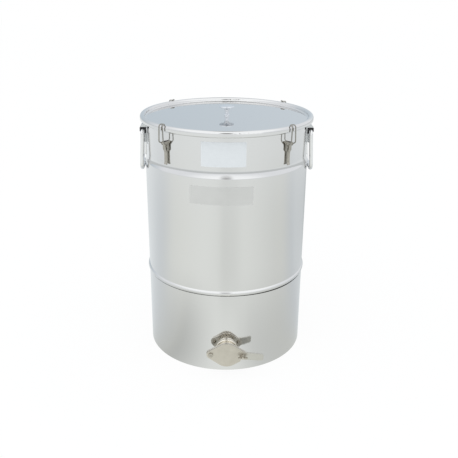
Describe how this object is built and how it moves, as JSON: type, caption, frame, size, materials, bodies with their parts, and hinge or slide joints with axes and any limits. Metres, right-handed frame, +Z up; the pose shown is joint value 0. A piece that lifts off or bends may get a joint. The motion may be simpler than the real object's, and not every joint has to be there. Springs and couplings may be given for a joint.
{
  "type": "settling tank",
  "caption": "Round stainless settling tank with a dished lid held by wire-bail toggle latches, drop handles at the sides and a flap gate low on the front for drawing off honey.",
  "frame": {"origin": "centre of the foot ring, on the floor", "axes": "+Z up along the tank's axis, gate towards -Y, +X to the right seen from the gate"},
  "size_m": [0.4208, 0.4526, 0.621],
  "materials": {
    "polished_steel": "mirror polished stainless sheet",
    "gate_steel": "satin cast stainless",
    "fitting_steel": "bright drawn stainless",
    "black_plastic": "moulded black nylon",
    "seal_rubber": "pale food-grade silicone"
  },
  "bodies": {
    "tank": {"tank_shell": "polished_steel", "rim_wire": "fitting_steel", "tank_floor": "polished_steel", "outlet_socket": "polished_steel", "gate_body": "gate_steel", "gate_seal": "seal_rubber", "gate_pivot_screw": "fitting_steel", "gate_pivot_nut": "fitting_steel", "gate_stud": "fitting_steel", "latch_base_front_left": "fitting_steel", "latch_base_front_right": "fitting_steel", "latch_base_back_left": "fitting_steel", "latch_base_back_right": "fitting_steel", "latch_pins": "fitting_steel", "handle_bracket_left": "polished_steel", "handle_bracket_right": "polished_steel", "handle_hinge_left_front": "black_plastic", "handle_hinge_left_back": "black_plastic", "handle_hinge_right_front": "black_plastic", "handle_hinge_right_back": "black_plastic", "handle_rivets": "fitting_steel"},
    "lid": {"lid_pan": "polished_steel", "lid_seal": "seal_rubber", "lid_knob": "polished_steel", "lid_knob_screw": "fitting_steel", "lid_knob_washer": "fitting_steel"},
    "handle_left": {"handle_bail_left": "polished_steel"},
    "handle_right": {"handle_bail_right": "polished_steel"},
    "flap": {"gate_flap": "gate_steel"},
    "wing_nut": {"gate_wing_nut": "fitting_steel"},
    "lever_front_left": {"latch_lever_front_left": "fitting_steel"},
    "bail_front_left": {"latch_bail_front_left": "fitting_steel"},
    "lever_front_right": {"latch_lever_front_right": "fitting_steel"},
    "bail_front_right": {"latch_bail_front_right": "fitting_steel"},
    "lever_back_left": {"latch_lever_back_left": "fitting_steel"},
    "bail_back_left": {"latch_bail_back_left": "fitting_steel"},
    "lever_back_right": {"latch_lever_back_right": "fitting_steel"},
    "bail_back_right": {"latch_bail_back_right": "fitting_steel"}
  },
  "joints": [
    {"name": "lid_lift", "type": "slide", "parent": "tank", "child": "lid", "axis": [0, 0, 1], "range_m": [0, 0.06]},
    {"name": "lever_front_left_swing", "type": "hinge", "parent": "tank", "child": "lever_front_left", "pos_m": [-0.14247, -0.14754, 0.563], "axis": [-0.7193, 0.6947, 0], "range_deg": [0, 160]},
    {"name": "bail_front_left_swing", "type": "hinge", "parent": "lever_front_left", "child": "bail_front_left", "pos_m": [-0.13949, -0.14444, 0.546], "axis": [-0.7193, 0.6947, 0], "range_deg": [-285, 0]},
    {"name": "lever_front_right_swing", "type": "hinge", "parent": "tank", "child": "lever_front_right", "pos_m": [0.14066, -0.14927, 0.563], "axis": [-0.7278, -0.6858, 0], "range_deg": [0, 160]},
    {"name": "bail_front_right_swing", "type": "hinge", "parent": "lever_front_right", "child": "bail_front_right", "pos_m": [0.13771, -0.14614, 0.546], "axis": [-0.7278, -0.6858, 0], "range_deg": [-285, 0]},
    {"name": "lever_back_left_swing", "type": "hinge", "parent": "tank", "child": "lever_back_left", "pos_m": [-0.13988, 0.15, 0.563], "axis": [0.7314, 0.682, 0], "range_deg": [0, 160]},
    {"name": "bail_back_left_swing", "type": "hinge", "parent": "lever_back_left", "child": "bail_back_left", "pos_m": [-0.13695, 0.14686, 0.546], "axis": [0.7314, 0.682, 0], "range_deg": [-285, 0]},
    {"name": "lever_back_right_swing", "type": "hinge", "parent": "tank", "child": "lever_back_right", "pos_m": [0.14877, 0.14118, 0.563], "axis": [0.6884, -0.7254, 0], "range_deg": [0, 160]},
    {"name": "bail_back_right_swing", "type": "hinge", "parent": "lever_back_right", "child": "bail_back_right", "pos_m": [0.14566, 0.13822, 0.546], "axis": [0.6884, -0.7254, 0], "range_deg": [-285, 0]},
    {"name": "handle_left_swing", "type": "hinge", "parent": "tank", "child": "handle_left", "pos_m": [-0.2009, 0, 0.567], "axis": [0, 1, 0], "range_deg": [0, 110]},
    {"name": "handle_right_swing", "type": "hinge", "parent": "tank", "child": "handle_right", "pos_m": [0.2009, 0, 0.567], "axis": [0, -1, 0], "range_deg": [0, 110]},
    {"name": "flap_swing", "type": "hinge", "parent": "tank", "child": "flap", "pos_m": [-0.03847, -0.22905, 0.06335], "axis": [0, -1, 0], "range_deg": [0, 100]},
    {"name": "wing_nut_turn", "type": "hinge", "parent": "tank", "child": "wing_nut", "pos_m": [0.03847, -0.2356, 0.06025], "axis": [0, -1, 0], "continuous": true}
  ],
  "couplings": [
    {"joint": "lever_front_left_swing", "follows": "lid_lift", "rad_per_m": 46.54},
    {"joint": "bail_front_left_swing", "follows": "lid_lift", "rad_per_m": -82.9},
    {"joint": "lever_front_right_swing", "follows": "lid_lift", "rad_per_m": 46.54},
    {"joint": "bail_front_right_swing", "follows": "lid_lift", "rad_per_m": -82.9},
    {"joint": "lever_back_left_swing", "follows": "lid_lift", "rad_per_m": 46.54},
    {"joint": "bail_back_left_swing", "follows": "lid_lift", "rad_per_m": -82.9},
    {"joint": "lever_back_right_swing", "follows": "lid_lift", "rad_per_m": 46.54},
    {"joint": "bail_back_right_swing", "follows": "lid_lift", "rad_per_m": -82.9}
  ]
}
